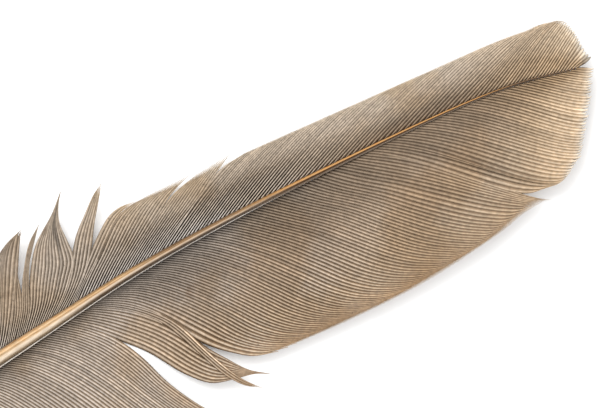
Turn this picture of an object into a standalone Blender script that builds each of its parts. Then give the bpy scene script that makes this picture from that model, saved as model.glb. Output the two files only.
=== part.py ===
"""Turkey wing feather, lying underside up on a flat surface.

Lengths are in millimetres until the meshes are made.  A place on the feather is
given as a station, the distance along the shaft from the end of the quill, and
an offset, the distance out from the shaft's centreline.  +X runs from quill to
tip, +Y towards the narrow leading vane, -Y towards the wide trailing vane, and
+Z up.  The origin is at the bottom centre of the whole feather.
"""

import math

import bmesh
import bpy
from mathutils import Vector

MM = 0.001
LEADING = 1
TRAILING = -1

# ---- driving dimensions -------------------------------------------------------

SHAFT_LENGTH = 206.5
VANE_THICKNESS = 0.5
DOWN_THICKNESS = 1.4
GAP = 0.3

# station, direction of the shaft in degrees from +X
SHAFT_HEADING = (
    (0, 8.0), (40, 6.5), (77, 4.0), (100, 4.2), (112, 1.4), (124, -0.6), (145, -2.5),
    (165, -3.2), (182, -5.4), (192, -9.5), (202, -16.0), (209, -9.0),
)
# station, width across the feather, depth from underside to back
SHAFT_SIZE = (
    (0, 1.5, 1.5), (3, 2.6, 2.5), (12, 4.1, 3.8), (34, 4.3, 4.0), (50, 3.9, 3.8),
    (77, 3.1, 3.2), (101, 2.2, 2.6), (133, 1.5, 1.9), (160, 1.0, 1.3), (189, 0.5, 0.7),
    (206.5, 0.24, 0.4),
)
GROOVE_FROM = 42.0
GROOVE_FULL = 62.0
GROOVE_DEPTH = 0.24
GROOVE_PLACE = -0.42
GROOVE_SPREAD = 0.2

# The shaft bows: its middle lies on the surface and both ends rise.
REST_FROM = 62.0
REST_TO = 138.0
QUILL_RISE = 3.0
TIP_RISE = 3.6

# The vanes are dished: flat beside the shaft, then rising to their edges.
DISH_FROM = {LEADING: 1.5, TRAILING: 11.0}
DISH_WIDTH = {LEADING: 10.0, TRAILING: 18.0}
# station, rise of the trailing edge
TRAILING_DISH = ((40, 1.2), (90, 2.0), (125, 3.4), (165, 4.4), (212, 2.6))
LEADING_DISH = ((40, 0.9), (90, 1.3), (150, 1.2), (212, 1.0))

# ---- pieces of the vane ---------------------------------------------------------
# Each piece is a run of barbs.  A row is one guide barb: the station of its root,
# the station and offset of its tip, and its angle off the shaft at root and tip.

LEADING_VANE = (
    (94.7, 109.3, 9.9, 32, 22), (97.0, 113.5, 11.4, 30, 24), (99.5, 119.0, 12.2, 28, 12),
    (104, 124.4, 11.5, 27, 10), (110, 130.3, 10.3, 27, 10), (119, 137.6, 10.3, 26, 14),
    (135, 153.0, 9.6, 26, 14), (159, 175.0, 8.7, 25, 14), (179, 194.8, 9.0, 26, 15),
    (186, 199.8, 10.0, 26, 15), (191, 203.5, 10.3, 28, 14), (195, 206.4, 9.8, 30, 20),
    (199, 207.9, 7.9, 30, 34), (202.5, 208.5, 5.4, 30, 40), (204.7, 209.0, 2.7, 32, 38),
    (206.3, 209.8, 1.2, 26, 26),
)
LEADING_LOCK_4 = (
    (91.4, 106.2, 14.2, 33, 48), (92.7, 112.3, 18.6, 33, 50), (93.9, 108.2, 12.6, 33, 50),
)
LEADING_LOCK_3 = (
    (83.9, 100.2, 17.2, 33, 44), (85.5, 104.3, 20.5, 33, 52), (87.5, 105.6, 21.3, 33, 62),
    (89.3, 103.0, 15.6, 33, 66), (90.6, 101.5, 11.0, 34, 60),
)
LEADING_LOCK_2 = ((82.0, 98.6, 18.2, 33, 38), (83.1, 99.2, 18.3, 33, 40))
LEADING_LOCK_1 = ((78.9, 92.3, 18.3, 36, 52), (81.2, 96.4, 19.6, 33, 44))
LEADING_BASE_VANE = (
    (48, 57, 10, 45, 66), (57, 68, 14, 42, 64), (67, 79.5, 16.5, 40, 60),
    (78.0, 91.3, 18.1, 36, 54),
)
TRAILING_TIP_VANE = (
    (161.4, 190.7, 21.4, 32, 10), (164.5, 195.6, 21.5, 31, 20), (168, 199.6, 20.2, 30, 25),
    (175, 203.2, 16.6, 30, 30), (183, 204.6, 12.8, 31, 40), (191, 206.4, 8.2, 30, 34),
    (199, 208.0, 4.2, 28, 24), (206.2, 209.5, 1.2, 20, 6),
)
TRAILING_VANE = (
    (101.4, 124.0, 27.4, 40, 34), (107, 133.5, 28.4, 40, 14), (115, 145.0, 29.0, 40, 8),
    (125, 156.5, 28.9, 40, 6), (139, 171.0, 27.7, 38, 4), (150, 182.0, 25.3, 36, 3),
    (156, 188.4, 23.9, 33, 0), (160.6, 193.0, 23.6, 32, 0),
)
TRAILING_MIDDLE_LOCK = (
    (92.5, 112.6, 27.5, 40, 40), (94.5, 117.0, 29.6, 40, 38), (97.5, 121.4, 31.2, 40, 44),
    (100.6, 122.4, 29.9, 40, 52),
)
TRAILING_BASE_VANE = (
    (47, 57, 14, 48, 74), (56, 66, 22, 45, 74), (66, 78, 28, 42, 72), (76, 90.5, 32, 40, 68),
    (84, 100.5, 34, 38, 60), (91.3, 108.6, 33.2, 38, 52),
)
LEADING_DOWN = ((37, 40, 8, 62, 84), (42, 46.5, 11, 56, 78), (47.2, 54.5, 10.6, 48, 70))
TRAILING_DOWN = ((36, 38, 9, 64, 88), (41, 45, 14, 58, 84), (46.2, 53.5, 15, 50, 78))

# name, guide barbs, side, thickness, strips across the barbs, strips along them
PIECES = (
    ("leading_vane", LEADING_VANE, LEADING, VANE_THICKNESS, 36, 6),
    ("leading_lock_4", LEADING_LOCK_4, LEADING, VANE_THICKNESS, 4, 8),
    ("leading_lock_3", LEADING_LOCK_3, LEADING, VANE_THICKNESS, 6, 8),
    ("leading_lock_2", LEADING_LOCK_2, LEADING, VANE_THICKNESS, 2, 8),
    ("leading_lock_1", LEADING_LOCK_1, LEADING, VANE_THICKNESS, 2, 8),
    ("leading_base_vane", LEADING_BASE_VANE, LEADING, VANE_THICKNESS, 10, 6),
    ("trailing_tip_vane", TRAILING_TIP_VANE, TRAILING, VANE_THICKNESS, 18, 10),
    ("trailing_vane", TRAILING_VANE, TRAILING, VANE_THICKNESS, 20, 12),
    ("trailing_middle_lock", TRAILING_MIDDLE_LOCK, TRAILING, VANE_THICKNESS, 4, 12),
    ("trailing_base_vane", TRAILING_BASE_VANE, TRAILING, VANE_THICKNESS, 14, 12),
    ("leading_down", LEADING_DOWN, LEADING, DOWN_THICKNESS, 4, 4),
    ("trailing_down", TRAILING_DOWN, TRAILING, DOWN_THICKNESS, 4, 4),
)
# How far a barb holds its root and tip directions, as a share of its length.
ROOT_PULL = 0.22
TIP_PULL = 0.2

SHAFT_RINGS = 48
SHAFT_SIDES = 16
HEADING_STEP = 0.5


# ---- smooth curves through a few rows ---------------------------------------------

def slope(rows, i, column):
    """Slope at row i that never overshoots the rows on either side."""
    steps = [
        (rows[k + 1][column] - rows[k][column]) / (rows[k + 1][0] - rows[k][0])
        for k in (i - 1, i)
        if 0 <= k < len(rows) - 1
    ]
    before, after = steps[0], steps[-1]
    if before * after <= 0:
        return 0.0
    return 2 * before * after / (before + after)


def value(rows, x, column=1):
    """Value of a column at x, on a smooth curve through the rows."""
    if x <= rows[0][0]:
        return rows[0][column]
    if x >= rows[-1][0]:
        return rows[-1][column]
    i = 0
    while rows[i + 1][0] < x:
        i += 1
    span = rows[i + 1][0] - rows[i][0]
    t = (x - rows[i][0]) / span
    y0, y1 = rows[i][column], rows[i + 1][column]
    m0, m1 = slope(rows, i, column) * span, slope(rows, i + 1, column) * span
    t2, t3 = t * t, t * t * t
    return (y0 * (2 * t3 - 3 * t2 + 1) + m0 * (t3 - 2 * t2 + t)
            + y1 * (3 * t2 - 2 * t3) + m1 * (t3 - t2))


def smoothstep(x):
    x = min(max(x, 0.0), 1.0)
    return x * x * (3 - 2 * x)


# ---- the feather's plan -----------------------------------------------------------

def shaft_path():
    """Centreline points, one each HEADING_STEP, found by walking along the headings."""
    points = [Vector((0.0, 0.0))]
    station = 0.0
    while station < SHAFT_LENGTH + 10:
        heading = math.radians(value(SHAFT_HEADING, station + HEADING_STEP / 2))
        points.append(points[-1] + HEADING_STEP * Vector((math.cos(heading), math.sin(heading))))
        station += HEADING_STEP
    return points


SHAFT_PATH = shaft_path()


def shaft_point(station):
    steps = station / HEADING_STEP
    i = min(int(steps), len(SHAFT_PATH) - 2)
    return SHAFT_PATH[i].lerp(SHAFT_PATH[i + 1], steps - i)


def direction(degrees):
    angle = math.radians(degrees)
    return Vector((math.cos(angle), math.sin(angle)))


def across(station):
    """Unit vector across the shaft, towards the leading vane."""
    return direction(value(SHAFT_HEADING, station) + 90)


def barb_path(guides, side, root, steps):
    """Plan points of the barb rooted at a station, from root to tip."""
    tip_station = value(guides, root, 1)
    tip_offset = value(guides, root, 2)
    root_angle = value(guides, root, 3)
    tip_angle = value(guides, root, 4)
    start_offset = value(SHAFT_SIZE, root, 1) / 2 + GAP
    start = shaft_point(root) + side * start_offset * across(root)
    end = shaft_point(tip_station) + side * tip_offset * across(tip_station)
    reach = (end - start).length
    leave = direction(value(SHAFT_HEADING, root) + side * root_angle)
    arrive = direction(value(SHAFT_HEADING, tip_station) + side * tip_angle)
    first = start + ROOT_PULL * reach * leave
    second = end - TIP_PULL * reach * arrive
    points = []
    for k in range(steps + 1):
        t = k / steps
        u = 1 - t
        points.append(u**3 * start + 3 * u * u * t * first + 3 * u * t * t * second + t**3 * end)
    return points


# ---- heights ------------------------------------------------------------------------

def bow(station):
    """Height of the shaft's underside above the surface."""
    if station < REST_FROM:
        return QUILL_RISE * ((REST_FROM - station) / REST_FROM) ** 2
    if station > REST_TO:
        return TIP_RISE * ((station - REST_TO) / (SHAFT_LENGTH - REST_TO)) ** 2
    return 0.0


def nearest_station(point, guess):
    """Station whose cross line passes through a plan point."""
    station = guess
    for _ in range(6):
        along = (point - shaft_point(station)).dot(direction(value(SHAFT_HEADING, station)))
        station = min(max(station + along, 0.0), SHAFT_LENGTH + 4)
    return station


def dish(side, station, offset):
    """Rise of the vane above the height of the shaft's underside."""
    edge_rise = value(LEADING_DISH if side == LEADING else TRAILING_DISH, station)
    out = max(offset - DISH_FROM[side], 0.0) / DISH_WIDTH[side]
    return edge_rise * out**2 / (0.4 + 0.6 * out)


# ---- meshes --------------------------------------------------------------------------

def clear_scene():
    for item in list(bpy.data.objects):
        bpy.data.objects.remove(item)


def plain_material(name, colour, roughness):
    material = bpy.data.materials.new(name)
    material.use_nodes = True
    shader = material.node_tree.nodes["Principled BSDF"]
    shader.inputs["Base Color"].default_value = (*colour, 1.0)
    shader.inputs["Roughness"].default_value = roughness
    shader.inputs["Metallic"].default_value = 0.0
    return material


def add_object(name, bm, material):
    bmesh.ops.recalc_face_normals(bm, faces=bm.faces)
    mesh = bpy.data.meshes.new(name)
    bm.to_mesh(mesh)
    bm.free()
    mesh.shade_smooth()
    mesh.materials.append(material)
    item = bpy.data.objects.new(name, mesh)
    bpy.context.scene.collection.objects.link(item)
    return item


def shaft_ring(station):
    """Points round the shaft: a rounded section with a groove on its upper side."""
    half_width = value(SHAFT_SIZE, station, 1) / 2
    half_depth = value(SHAFT_SIZE, station, 2) / 2
    centre = shaft_point(station)
    sideways = across(station)
    grooved = GROOVE_DEPTH * smoothstep((station - GROOVE_FROM) / (GROOVE_FULL - GROOVE_FROM))
    ring = []
    for k in range(SHAFT_SIDES):
        angle = 2 * math.pi * (k + 0.5) / SHAFT_SIDES
        out = math.cos(angle)
        height = half_depth * (1 + math.sin(angle))
        if math.sin(angle) > 0:
            near_groove = math.exp(-((out - GROOVE_PLACE) / GROOVE_SPREAD) ** 2)
            height -= grooved * 2 * half_depth * near_groove
        place = centre + out * half_width * sideways
        ring.append(Vector((place.x, place.y, bow(station) + height)) * MM)
    return ring


def make_shaft(material):
    bm = bmesh.new()
    loops = []
    for k in range(SHAFT_RINGS + 1):
        # rings crowd towards the quill's end, where the shaft swells fastest
        station = SHAFT_LENGTH * (k / SHAFT_RINGS) ** 1.25
        verts = [bm.verts.new(place) for place in shaft_ring(station)]
        loops.append([bm.edges.new((a, b)) for a, b in zip(verts, verts[1:] + verts[:1])])
    for near, far in zip(loops, loops[1:]):
        bmesh.ops.bridge_loops(bm, edges=near + far)
    bmesh.ops.holes_fill(bm, edges=loops[0] + loops[-1], sides=SHAFT_SIDES)
    return add_object("shaft", bm, material)


def make_vane_piece(name, guides, side, thickness, strips, steps, material):
    """One run of barbs as a thin dished sheet of even thickness."""
    bm = bmesh.new()
    first, last = guides[0][0], guides[-1][0]
    rows = []
    for i in range(strips + 1):
        root = first + (last - first) * i / strips
        row = []
        for place in barb_path(guides, side, root, steps):
            station = nearest_station(place, root)
            offset = (place - shaft_point(station)).length
            height = bow(station) + thickness / 2 + dish(side, station, offset)
            row.append(bm.verts.new(Vector((place.x, place.y, height)) * MM))
        rows.append(row)
    for near, far in zip(rows, rows[1:]):
        for k in range(steps):
            bm.faces.new((near[k], near[k + 1], far[k + 1], far[k]))
    item = add_object(name, bm, material)
    sheet = item.modifiers.new("thickness", "SOLIDIFY")
    sheet.thickness = thickness * MM
    sheet.offset = 0.0
    return item


def move_origin_to_base(items):
    """Put the bottom centre of everything at the world's origin."""
    graph = bpy.context.evaluated_depsgraph_get()
    low = Vector((math.inf,) * 3)
    high = Vector((-math.inf,) * 3)
    for item in items:
        for vert in item.evaluated_get(graph).data.vertices:
            low = Vector(map(min, low, vert.co))
            high = Vector(map(max, high, vert.co))
    base = Vector(((low.x + high.x) / 2, (low.y + high.y) / 2, low.z))
    for item in items:
        for vert in item.data.vertices:
            vert.co -= base


def main():
    clear_scene()
    horn = plain_material("shaft_horn", (0.52, 0.38, 0.2), 0.35)
    vane = plain_material("vane_brown", (0.28, 0.215, 0.155), 0.7)
    down = plain_material("down_grey", (0.42, 0.37, 0.32), 0.9)
    items = [make_shaft(horn)]
    for name, guides, side, thickness, strips, steps in PIECES:
        material = down if thickness == DOWN_THICKNESS else vane
        items.append(make_vane_piece(name, guides, side, thickness, strips, steps, material))
    move_origin_to_base(items)


main()
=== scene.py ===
"""Looks of the turkey wing feather: each barb is a ribbon of its own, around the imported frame.

Lengths are in millimetres.  As in part.py, a station is the distance along the shaft from the
end of the quill, and an offset is the distance out from the shaft's centreline.  place() turns
them into points in the frame.
"""

import math

import bpy
import numpy as np
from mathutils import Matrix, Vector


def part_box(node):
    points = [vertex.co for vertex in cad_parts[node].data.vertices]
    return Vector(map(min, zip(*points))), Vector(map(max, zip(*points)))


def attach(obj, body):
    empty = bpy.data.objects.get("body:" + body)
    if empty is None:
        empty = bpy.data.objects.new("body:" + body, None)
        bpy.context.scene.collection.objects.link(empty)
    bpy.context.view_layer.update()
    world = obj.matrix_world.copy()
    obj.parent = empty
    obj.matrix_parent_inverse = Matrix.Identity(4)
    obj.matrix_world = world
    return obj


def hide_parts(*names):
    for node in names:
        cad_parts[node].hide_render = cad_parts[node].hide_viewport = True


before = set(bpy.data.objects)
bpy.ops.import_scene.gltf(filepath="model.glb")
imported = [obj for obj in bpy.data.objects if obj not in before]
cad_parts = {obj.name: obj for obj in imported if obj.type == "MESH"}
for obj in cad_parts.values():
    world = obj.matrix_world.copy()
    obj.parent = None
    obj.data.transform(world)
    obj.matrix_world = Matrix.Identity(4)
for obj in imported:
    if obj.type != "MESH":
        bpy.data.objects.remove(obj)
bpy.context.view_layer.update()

MM = 0.001
LEADING = 1
TRAILING = -1
rng = np.random.default_rng(7)

# ---- the feather's measures, as in part.py ----

SHAFT_LENGTH = 206.5
# station, direction of the shaft in degrees from +X
SHAFT_HEADING = (
    (0, 8.0), (40, 6.5), (77, 4.0), (100, 4.2), (112, 1.4), (124, -0.6), (145, -2.5),
    (165, -3.2), (182, -5.4), (192, -9.5), (202, -16.0), (209, -9.0),
)
# station, width across the feather, depth from underside to back
SHAFT_SIZE = (
    (0, 1.5, 1.5), (3, 2.6, 2.5), (12, 4.1, 3.8), (34, 4.3, 4.0), (50, 3.9, 3.8),
    (77, 3.1, 3.2), (101, 2.2, 2.6), (133, 1.5, 1.9), (160, 1.0, 1.3), (189, 0.5, 0.7),
    (206.5, 0.24, 0.4),
)
REST_FROM = 62.0
REST_TO = 138.0
QUILL_RISE = 3.0
TIP_RISE = 3.6
DISH_FROM = {LEADING: 1.5, TRAILING: 11.0}
DISH_WIDTH = {LEADING: 10.0, TRAILING: 18.0}
# how roundly a vane rises out of its flat part
DISH_ROUND = 0.4
TRAILING_DISH = ((40, 1.2), (90, 2.0), (125, 3.4), (165, 4.4), (212, 2.6))
LEADING_DISH = ((40, 0.9), (90, 1.3), (150, 1.2), (212, 1.0))
# half the thickness of the CAD sheets
SHEET_MIDDLE = 0.25

# station, distance along the shaft between barbs' roots
LEADING_SPACING = (
    (48, 0.58), (77, 0.62), (88, 0.68), (98, 0.84), (106, 0.88), (116, 0.98), (126, 1.0),
    (136, 1.16), (146, 1.25), (156, 1.36), (168, 1.5), (178, 1.45), (187, 1.15), (194, 0.88),
    (200, 0.72), (206, 0.7),
)
TRAILING_SPACING = (
    (46, 0.6), (77, 0.66), (97, 0.72), (106, 0.76), (117, 0.81), (135, 0.88), (150, 0.93),
    (165, 1.01), (182, 1.05), (206, 1.08),
)

# ---- guide barbs ----
# Each row: root station, then the station and offset where the barb meets the vane's
# outline, then its angle off the shaft at the root and there.

LEADING_BASE = (
    (48, 57, 10, 45, 66), (57, 68, 14, 42, 64), (67, 79.5, 16.2, 40, 60),
    (74, 86.0, 16.6, 39, 58), (77.2, 91.0, 18.5, 39, 50), (79.3, 94.9, 19.2, 40, 40),
)
LEADING_MAIN = (
    (116.6, 136.4, 9.9, 28, 13), (119.8, 139.8, 10.2, 28, 12), (126, 146.0, 10.0, 27, 12),
    (135, 155.5, 9.6, 25, 14), (159, 180.0, 8.9, 22, 14), (179, 197.5, 9.6, 23, 26),
    (186, 201.6, 10.2, 25, 34), (191, 204.4, 10.2, 29, 38), (195, 206.5, 9.6, 34, 38),
    (199, 208.0, 7.7, 39, 38), (202.5, 208.6, 5.2, 42, 40), (204.7, 209.0, 2.7, 42, 38),
    (206.3, 209.8, 1.2, 26, 26),
)
TRAILING_TIP = (
    (161.4, 190.7, 21.4, 28, 12), (164.5, 195.6, 21.5, 28, 18), (168, 199.6, 20.2, 27, 14),
    (175, 203.2, 16.6, 26, 10), (183, 204.6, 12.8, 27, 12), (191, 206.4, 8.2, 27, 12),
    (199, 208.0, 4.2, 24, 10), (206.2, 209.5, 1.2, 16, 4),
)
LEADING_TUFT = ((37, 40, 8, 62, 84), (42, 46.5, 11, 56, 78), (47.2, 54.5, 10.6, 48, 70))
TRAILING_TUFT = ((36, 38, 9, 64, 88), (41, 45, 14, 58, 84), (46.2, 53.5, 15, 50, 78))

# ---- known barbs ----
# Stations and offsets from the root to the tip, measured in the photo.  A group's other barbs
# lie evenly between them.

LOCK_1 = (
    ((79.9, 1.5), (84.0, 6.0), (85.8, 8.7), (89.2, 13.9), (92.6, 17.3), (96.0, 19.4)),
    ((81.3, 1.5), (85.5, 5.6), (87.1, 8.0), (89.1, 12.1), (90.7, 15.0), (93.0, 17.6),
     (96.1, 19.4)),
)
LOCK_2 = (
    ((81.9, 1.4), (86.0, 5.6), (87.8, 8.1), (90.2, 11.3), (94.9, 16.1), (98.7, 18.3)),
    ((83.2, 1.4), (86.9, 4.7), (89.9, 9.4), (92.2, 12.5), (96.8, 16.8), (98.8, 18.4)),
)
LOCK_3 = (
    ((83.8, 1.4), (87.6, 4.9), (90.4, 8.8), (92.8, 11.8), (95.8, 14.9), (98.6, 16.7),
     (101.6, 18.4), (105.3, 21.3)),
    ((90.6, 1.3), (94.3, 3.5), (97.4, 6.0), (100.1, 8.9), (101.0, 12.6), (101.7, 15.8),
     (103.6, 19.2), (105.4, 21.3)),
)
LOCK_4 = (
    ((91.2, 1.3), (94.9, 3.5), (98.0, 6.0), (100.6, 8.9), (103.6, 12.1), (106.8, 14.7),
     (110.3, 17.4), (112.4, 18.5)),
    ((94.1, 1.2), (98.5, 3.8), (101.6, 6.1), (104.4, 9.2), (106.9, 12.2), (109.6, 15.2),
     (112.5, 18.5)),
)
MIDDLE_LOCK = (
    ((92.3, 1.3), (96.0, 5.2), (99.2, 9.5), (103.1, 15.0), (107.7, 23.0), (111.7, 27.0),
     (116.0, 28.5), (120.3, 29.6), (123.3, 31.1)),
    ((97.4, 1.2), (102.4, 5.1), (105.8, 8.5), (108.9, 12.3), (111.4, 16.1), (113.9, 20.9),
     (116.4, 24.4), (119.7, 28.4), (123.4, 31.1)),
)
ARCH_LOCK = (
    ((94.9, 1.2), (98.9, 3.8), (102.2, 6.3), (105.0, 8.3), (108.0, 10.4), (110.0, 11.6),
     (111.6, 12.2), (113.4, 12.4), (115.0, 12.2), (116.4, 11.8)),
    ((96.0, 1.2), (100.2, 3.9), (103.8, 6.0), (107.2, 8.4), (109.5, 10.0), (111.0, 10.9),
     (112.4, 11.5), (113.8, 11.8), (115.0, 11.85), (116.5, 11.7)),
)
CROSSING_LOCK = (
    ((98.0, 1.1), (103.0, 5.1), (106.3, 8.5), (109.1, 12.3), (110.7, 16.0), (112.6, 21.6),
     (114.6, 26.6), (117.2, 30.4), (120.4, 32.8)),
    ((99.2, 1.1), (104.2, 5.0), (107.5, 8.5), (110.1, 12.0), (111.6, 15.2), (113.4, 20.7),
     (115.4, 25.8), (117.6, 29.7), (120.5, 32.8)),
)
FIRST_LOCK = (
    ((96.9, 1.2), (101.1, 4.0), (104.8, 6.3), (108.2, 8.8), (110.6, 10.4), (112.6, 11.2),
     (115.0, 11.7), (119.0, 11.8)),
    ((106.2, 1.0), (110.0, 3.1), (114.5, 5.5), (118.9, 7.9), (123.0, 10.0), (127.9, 11.5)),
)
SECOND_LOCK = (
    ((107.1, 1.0), (110.9, 3.1), (115.4, 5.5), (119.7, 7.8), (123.5, 9.5), (129.2, 10.9)),
    ((115.6, 0.9), (119.5, 2.9), (123.7, 4.8), (127.8, 6.7), (132.0, 9.1), (136.9, 11.5)),
)
BASE_VANE = (
    ((47.0, 1.9), (49.3, 4.6), (51.4, 7.8), (53.2, 10.8), (54.9, 13.0), (57.4, 14.4)),
    ((56.0, 1.8), (58.8, 5.0), (61.1, 9.2), (63.0, 14.0), (64.8, 18.6), (67.2, 22.6)),
    ((65.5, 1.7), (68.8, 5.0), (71.6, 9.8), (73.9, 15.6), (75.9, 22.0), (78.6, 28.6)),
    ((73.2, 1.6), (76.7, 5.0), (79.8, 10.0), (82.4, 16.0), (84.3, 22.0), (85.9, 27.5),
     (87.5, 32.2)),
    ((79.2, 1.5), (82.9, 4.9), (86.3, 10.0), (89.2, 16.0), (91.5, 22.0), (93.6, 28.0),
     (95.6, 33.2)),
    ((84.9, 1.4), (88.8, 5.2), (92.0, 10.0), (94.7, 16.0), (96.9, 22.0), (99.4, 28.2),
     (102.0, 33.8)),
    ((91.6, 1.3), (95.3, 5.2), (98.4, 9.8), (100.5, 15.2), (102.3, 22.0), (105.2, 28.4),
     (108.8, 33.6)),
)
MAIN_VANE = (
    ((99.8, 1.1), (104.9, 5.0), (109.0, 10.0), (111.9, 15.3), (115.1, 20.0), (118.7, 23.7),
     (122.6, 26.5), (127.0, 27.9)),
    ((101.0, 1.1), (106.2, 5.0), (110.5, 10.2), (114.3, 15.8), (118.0, 20.9), (121.5, 24.4),
     (125.6, 26.9), (130.6, 28.1)),
    ((102.9, 1.1), (107.5, 4.3), (112.6, 9.9), (117.0, 16.0), (121.0, 21.8), (124.7, 25.2),
     (129.0, 27.4), (134.5, 28.4)),
    ((109.8, 1.1), (114.5, 4.4), (119.8, 10.0), (124.4, 16.1), (129.2, 22.3), (133.3, 25.7),
     (138.5, 27.9), (145.0, 28.9)),
    ((121.4, 0.9), (126.0, 4.5), (131.6, 10.2), (136.7, 16.3), (142.0, 22.5), (146.4, 25.9),
     (152.0, 28.1), (158.5, 28.8)),
    ((139.2, 0.7), (143.7, 4.6), (150.0, 9.9), (155.7, 15.8), (161.6, 21.5), (166.6, 24.8),
     (172.0, 26.8), (178.5, 26.3)),
    ((149.5, 0.6), (153.7, 4.5), (159.8, 9.4), (165.5, 14.7), (171.6, 19.8), (176.6, 23.0),
     (181.0, 24.7), (186.6, 24.4)),
    ((155.3, 0.5), (160.6, 4.5), (166.8, 9.1), (172.7, 13.8), (178.8, 18.5), (183.4, 21.5),
     (187.2, 23.2), (191.4, 23.7)),
    ((160.5, 0.5), (166.9, 4.6), (173.3, 9.7), (179.0, 14.8), (184.4, 19.2), (187.2, 21.3),
     (189.8, 22.8), (192.9, 24.0)),
)

# ---- how barbs are drawn ----

# how far a barb keeps its root's direction and its tip's, as shares of its reach
ROOT_PULL = {LEADING: 0.3, TRAILING: 0.36}
TIP_PULL = 0.2
# how barbs run on inside the outline: slope of the inset, and how it closes
EDGE_SLOPE = 0.13
EDGE_POWER = 1.5
# a barb that runs on this far has turned fully along the outline
FULL_TURN = 3.0
# the free side of a group's outermost barb, in shares of the distance between barbs: it laps
# over the next group near the shaft, stays so for a while, and gets narrow further out
FREE_SIDE_ROOT = 1.2
FREE_SIDE_TIP = 0.55
FREE_SIDE_KEPT = 0.6
BARB_STEPS = 46
DRAWN_STEPS = 90
# the distance between barbs that their sections are made for
LONE_PITCH = 0.4
MIN_PITCH = 0.05
MAX_PITCH = 1.1
# one barb's section: a round rib with a thin web on both sides, and a small keel underneath
RIDGE_ROOT = 0.3
RIDGE_TIP = 0.04
RIDGE_FALL = 2.6
RIDGE_LIMIT = 0.45
RIDGE_LEAST = 0.2
RIB_ROOT = 0.26
RIB_TIP = 0.18
# the rib's shoulders and feet, as shares of its half width and height
SHOULDER_OUT = 0.55
SHOULDER_UP = 0.82
FOOT_UP = 0.25
WEB_LAP = 0.12
# the webs lie on each other by this where the barbs are this far apart or more
WEB_LAYER = 0.05
FULL_LAYER_PITCH = 0.4
KEEL = 0.07
# how a barb narrows towards its tip
NARROWEST = 0.12
NARROWING = 0.7
# where a section's points lie across it, for the material; 2 is the keel
SECTION_ACROSS = (-1.0, -0.55, -0.28, 0.0, 0.28, 0.55, 1.0, 2.0)
# unevenness: how it grows towards the tip, and in height
TIP_POWER = 4
HEIGHT_JITTER = 0.03
# a lifted lock rises from this share of its length, over this share
LIFT_FROM = 0.25
LIFT_OVER = 0.4
# an odd barb is paler than the rest
PALE_SHARE = 0.02
PALE_BY = 0.5
# how softly a mark on a barb starts and stops
MARK_SOFTNESS = 0.1
# barbs that sink beside the shaft have risen again this far from their roots
SINK_REACH = 1.1

# ---- the camera and the light ----

VIEW_STATION = 77.0
VIEW_TURN = math.radians(29.0)
VIEW_WIDTH = 122.4
VIEW_HEIGHT = 81.6
# height at which the shaft enters the view, above the view's lower edge
ENTRY_ABOVE_BOTTOM = 9.9
LENS = 200.0
SENSOR = 36.0
# the key light; its turn is anticlockwise from the view's right
KEY_TURN = 125.0
KEY_ELEVATION = 48.0
KEY_DISTANCE = 0.9
KEY_SIZE = 0.6
KEY_WATTS = 5.2
SKY = 1.22
# how much brighter a level surface is in the studio than its base colour
EXPOSURE = 1.5


# ---- smooth curves ----

def curve(rows, column=1):
    """A function on a smooth curve through the rows, which never overshoots them."""
    x = np.array([row[0] for row in rows], float)
    y = np.array([row[column] for row in rows], float)
    rise = np.diff(y) / np.diff(x)
    before = np.r_[rise[0], rise]
    after = np.r_[rise, rise[-1]]
    together = before * after > 0
    slope = np.where(together, 2 * before * after / np.where(together, before + after, 1), 0)

    def at(q):
        q = np.clip(q, x[0], x[-1])
        i = np.clip(np.searchsorted(x, q, side="right") - 1, 0, len(x) - 2)
        span = x[i + 1] - x[i]
        t = (q - x[i]) / span
        t2, t3 = t * t, t * t * t
        return (y[i] * (2 * t3 - 3 * t2 + 1) + slope[i] * span * (t3 - 2 * t2 + t)
                + y[i + 1] * (3 * t2 - 2 * t3) + slope[i + 1] * span * (t3 - t2))

    return at


def smoothstep(x):
    x = np.clip(x, 0.0, 1.0)
    return x * x * (3 - 2 * x)


heading = curve(SHAFT_HEADING)
shaft_width = curve(SHAFT_SIZE, 1)
shaft_depth = curve(SHAFT_SIZE, 2)
edge_rise = {LEADING: curve(LEADING_DISH), TRAILING: curve(TRAILING_DISH)}
spacing = {LEADING: curve(LEADING_SPACING), TRAILING: curve(TRAILING_SPACING)}
# by root station: how far barbs run on along the outline
edge_run = {
    LEADING: curve(((48, 4.0), (186, 4.0), (196, 0.5), (206.5, 0.1))),
    TRAILING: curve(((47, 6.0), (155, 6.0), (163, 3.0), (170, 0.4), (206.5, 0.1))),
}
# by root station: how unevenly tips end, and over what length they narrow
tip_unevenness = {
    LEADING: curve(((48, 0.12), (206.5, 0.12))),
    TRAILING: curve(((47, 0.12), (158, 0.12), (172, 0.14), (206.5, 0.22))),
}
fringe = {
    LEADING: curve(((48, 2.0), (88, 2.0), (98, 4.0), (190, 3.0), (200, 1.0), (206.5, 0.9))),
    TRAILING: curve(((47, 3.0), (98, 3.0), (103, 6.0), (156, 5.0), (163, 1.4), (206.5, 1.3))),
}
# by root station: how deep the barbs' roots sink beside the shaft
root_sink = curve(((47, 0.0), (138, 0.0), (152, 0.35), (200, 0.35), (206.5, 0.1)))


# ---- the feather's plan and heights ----

HEADING_STEP = 0.5
path_stations = np.arange(0, SHAFT_LENGTH + 10.5, HEADING_STEP)
path_headings = np.radians(heading(path_stations[:-1] + HEADING_STEP / 2))
path_x = np.r_[0, np.cumsum(HEADING_STEP * np.cos(path_headings))]
path_y = np.r_[0, np.cumsum(HEADING_STEP * np.sin(path_headings))]


def directions(degrees):
    angle = np.radians(degrees)
    return np.stack([np.cos(angle), np.sin(angle)], axis=-1)


def shaft_point(station):
    return np.stack([np.interp(station, path_stations, path_x),
                     np.interp(station, path_stations, path_y)], axis=-1)


def across(station):
    """Unit vector across the shaft, towards the leading vane."""
    return directions(heading(station) + 90)


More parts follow.
